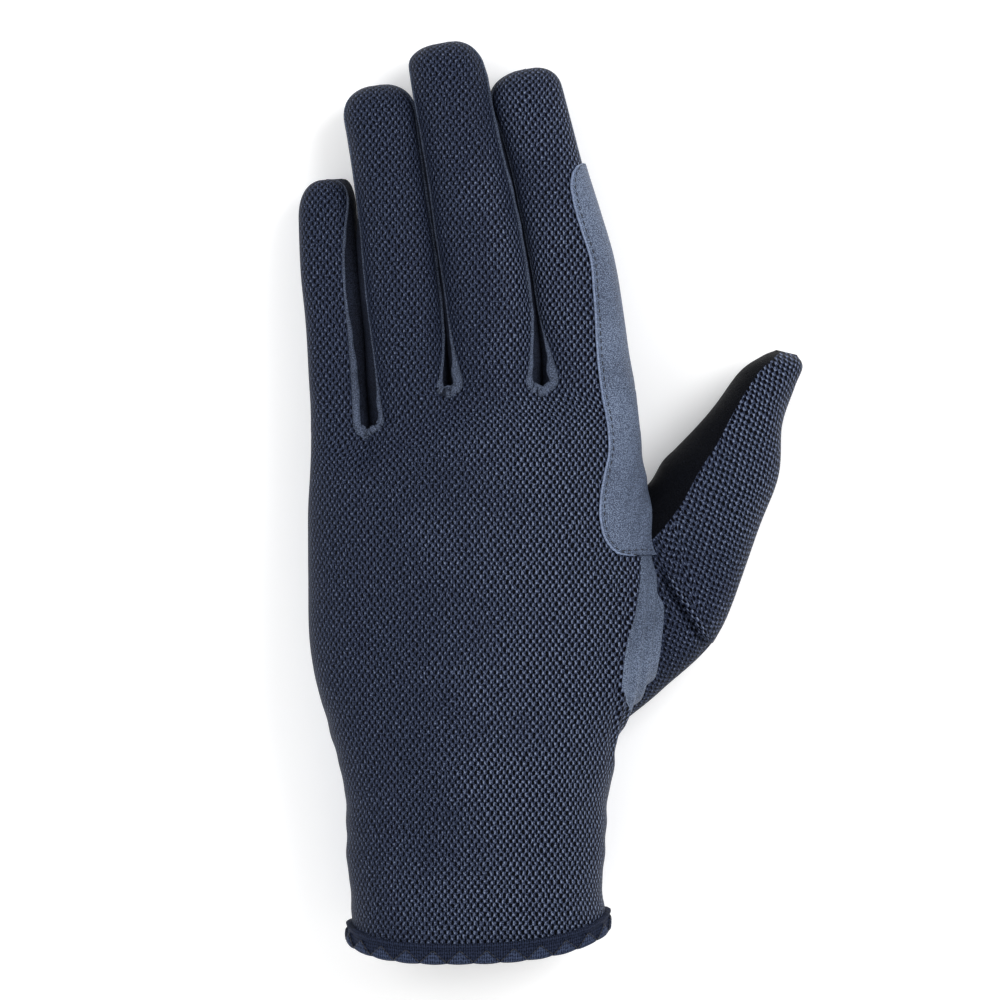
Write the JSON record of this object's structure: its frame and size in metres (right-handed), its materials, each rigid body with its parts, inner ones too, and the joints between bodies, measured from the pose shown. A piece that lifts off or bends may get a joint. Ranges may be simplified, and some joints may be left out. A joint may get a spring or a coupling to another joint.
{
  "type": "riding glove",
  "caption": "Thin left-hand riding glove with a knitted mesh back, a leather palm and finger sides, a reinforced rein finger and a bound cuff.",
  "frame": {"origin": "centre of the bounding box, on the surface that the glove lies on, palm down", "axes": "+X across the hand towards the thumb, +Y along the hand towards the fingertips, +Z from the palm to the back of the hand"},
  "size_m": [0.1192, 0.2232, 0.0435],
  "materials": {
    "mesh": "matt knitted mesh with rows of small holes",
    "palm_leather": "fine matt synthetic leather",
    "overlay_leather": "fine-grained matt synthetic leather",
    "cuff_binding": "soft elastic binding",
    "wrist_elastic": "ribbed elastic band",
    "care_label": "woven satin, blank"
  },
  "bodies": {
    "hand": {"back_panel": "mesh", "palm_panel": "palm_leather", "cuff_binding": "cuff_binding", "wrist_elastic": "wrist_elastic", "care_label": "care_label", "fourchette_crotches": "palm_leather", "index_overlay_hand": "overlay_leather", "rein_patch_palm": "overlay_leather"},
    "little_proximal": {"little_proximal_back": "mesh", "little_proximal_front": "palm_leather", "little_proximal_sides": "palm_leather", "rein_patch_little": "overlay_leather"},
    "little_middle": {"little_middle_back": "mesh", "little_middle_front": "palm_leather", "little_middle_sides": "palm_leather"},
    "little_distal": {"little_distal_back": "mesh", "little_distal_front": "palm_leather", "little_distal_sides": "palm_leather"},
    "ring_proximal": {"ring_proximal_back": "mesh", "ring_proximal_front": "palm_leather", "ring_proximal_sides": "palm_leather", "rein_patch_ring": "overlay_leather"},
    "ring_middle": {"ring_middle_back": "mesh", "ring_middle_front": "palm_leather", "ring_middle_sides": "palm_leather"},
    "ring_distal": {"ring_distal_back": "mesh", "ring_distal_front": "palm_leather", "ring_distal_sides": "palm_leather"},
    "middle_proximal": {"middle_proximal_back": "mesh", "middle_proximal_front": "palm_leather", "middle_proximal_sides": "palm_leather"},
    "middle_middle": {"middle_middle_back": "mesh", "middle_middle_front": "palm_leather", "middle_middle_sides": "palm_leather"},
    "middle_distal": {"middle_distal_back": "mesh", "middle_distal_front": "palm_leather", "middle_distal_sides": "palm_leather"},
    "index_proximal": {"index_proximal_back": "mesh", "index_proximal_front": "palm_leather", "index_proximal_sides": "palm_leather", "index_overlay_proximal": "overlay_leather"},
    "index_middle": {"index_middle_back": "mesh", "index_middle_front": "palm_leather", "index_middle_sides": "palm_leather", "index_overlay_middle": "overlay_leather"},
    "index_distal": {"index_distal_back": "mesh", "index_distal_front": "palm_leather", "index_distal_sides": "palm_leather"},
    "thumb_base": {"thumb_base_back": "mesh", "thumb_base_front": "palm_leather"},
    "thumb_tip": {"thumb_tip_back": "mesh", "thumb_tip_front": "palm_leather"}
  },
  "joints": [
    {"name": "little_root_joint", "type": "hinge", "parent": "hand", "child": "little_proximal", "pos_m": [-0.05147, 0.02257, 0.0175], "axis": [-0.9988, -0.0489, 0], "range_deg": [-10, 60]},
    {"name": "little_middle_joint", "type": "hinge", "parent": "little_proximal", "child": "little_middle", "pos_m": [-0.05235, 0.04049, 0.01625], "axis": [-0.9988, -0.0489, 0], "range_deg": [0, 75]},
    {"name": "little_tip_joint", "type": "hinge", "parent": "little_middle", "child": "little_distal", "pos_m": [-0.05325, 0.05888, 0.01366], "axis": [-0.9988, -0.0489, 0], "range_deg": [0, 45]},
    {"name": "ring_root_joint", "type": "hinge", "parent": "hand", "child": "ring_proximal", "pos_m": [-0.03467, 0.03008, 0.02], "axis": [-0.9956, -0.0941, 0], "range_deg": [-10, 60]},
    {"name": "ring_middle_joint", "type": "hinge", "parent": "ring_proximal", "child": "ring_middle", "pos_m": [-0.03682, 0.05283, 0.0184], "axis": [-0.9956, -0.0941, 0], "range_deg": [0, 75]},
    {"name": "ring_tip_joint", "type": "hinge", "parent": "ring_middle", "child": "ring_distal", "pos_m": [-0.03903, 0.0762, 0.0151], "axis": [-0.9956, -0.0941, 0], "range_deg": [0, 45]},
    {"name": "middle_root_joint", "type": "hinge", "parent": "hand", "child": "middle_proximal", "pos_m": [-0.01437, 0.03502, 0.021], "axis": [-0.9903, -0.1392, 0], "range_deg": [-10, 60]},
    {"name": "middle_middle_joint", "type": "hinge", "parent": "middle_proximal", "child": "middle_middle", "pos_m": [-0.01781, 0.05951, 0.01927], "axis": [-0.9903, -0.1392, 0], "range_deg": [0, 75]},
    {"name": "middle_tip_joint", "type": "hinge", "parent": "middle_middle", "child": "middle_distal", "pos_m": [-0.02135, 0.08467, 0.0157], "axis": [-0.9903, -0.1392, 0], "range_deg": [0, 45]},
    {"name": "index_root_joint", "type": "hinge", "parent": "hand", "child": "index_proximal", "pos_m": [0.00754, 0.03498, 0.02], "axis": [-0.9816, -0.1908, 0], "range_deg": [-10, 60]},
    {"name": "index_middle_joint", "type": "hinge", "parent": "index_proximal", "child": "index_middle", "pos_m": [0.00318, 0.05741, 0.0184], "axis": [-0.9816, -0.1908, 0], "range_deg": [0, 75]},
    {"name": "index_tip_joint", "type": "hinge", "parent": "index_middle", "child": "index_distal", "pos_m": [-0.0013, 0.08045, 0.0151], "axis": [-0.9816, -0.1908, 0], "range_deg": [0, 45]},
    {"name": "thumb_base_joint", "type": "hinge", "parent": "hand", "child": "thumb_base", "pos_m": [0.0256, -0.01775, 0.018], "axis": [-0.0839, 0.9965, 0], "range_deg": [-10, 35]},
    {"name": "thumb_tip_joint", "type": "hinge", "parent": "thumb_base", "child": "thumb_tip", "pos_m": [0.04538, 0.01521, 0.0135], "axis": [-0.2774, 0.3521, 0.8939], "range_deg": [0, 60]}
  ],
  "couplings": [
    {"joint": "little_tip_joint", "follows": "little_middle_joint", "ratio": 0.6},
    {"joint": "ring_tip_joint", "follows": "ring_middle_joint", "ratio": 0.6},
    {"joint": "middle_tip_joint", "follows": "middle_middle_joint", "ratio": 0.6},
    {"joint": "index_tip_joint", "follows": "index_middle_joint", "ratio": 0.6}
  ]
}
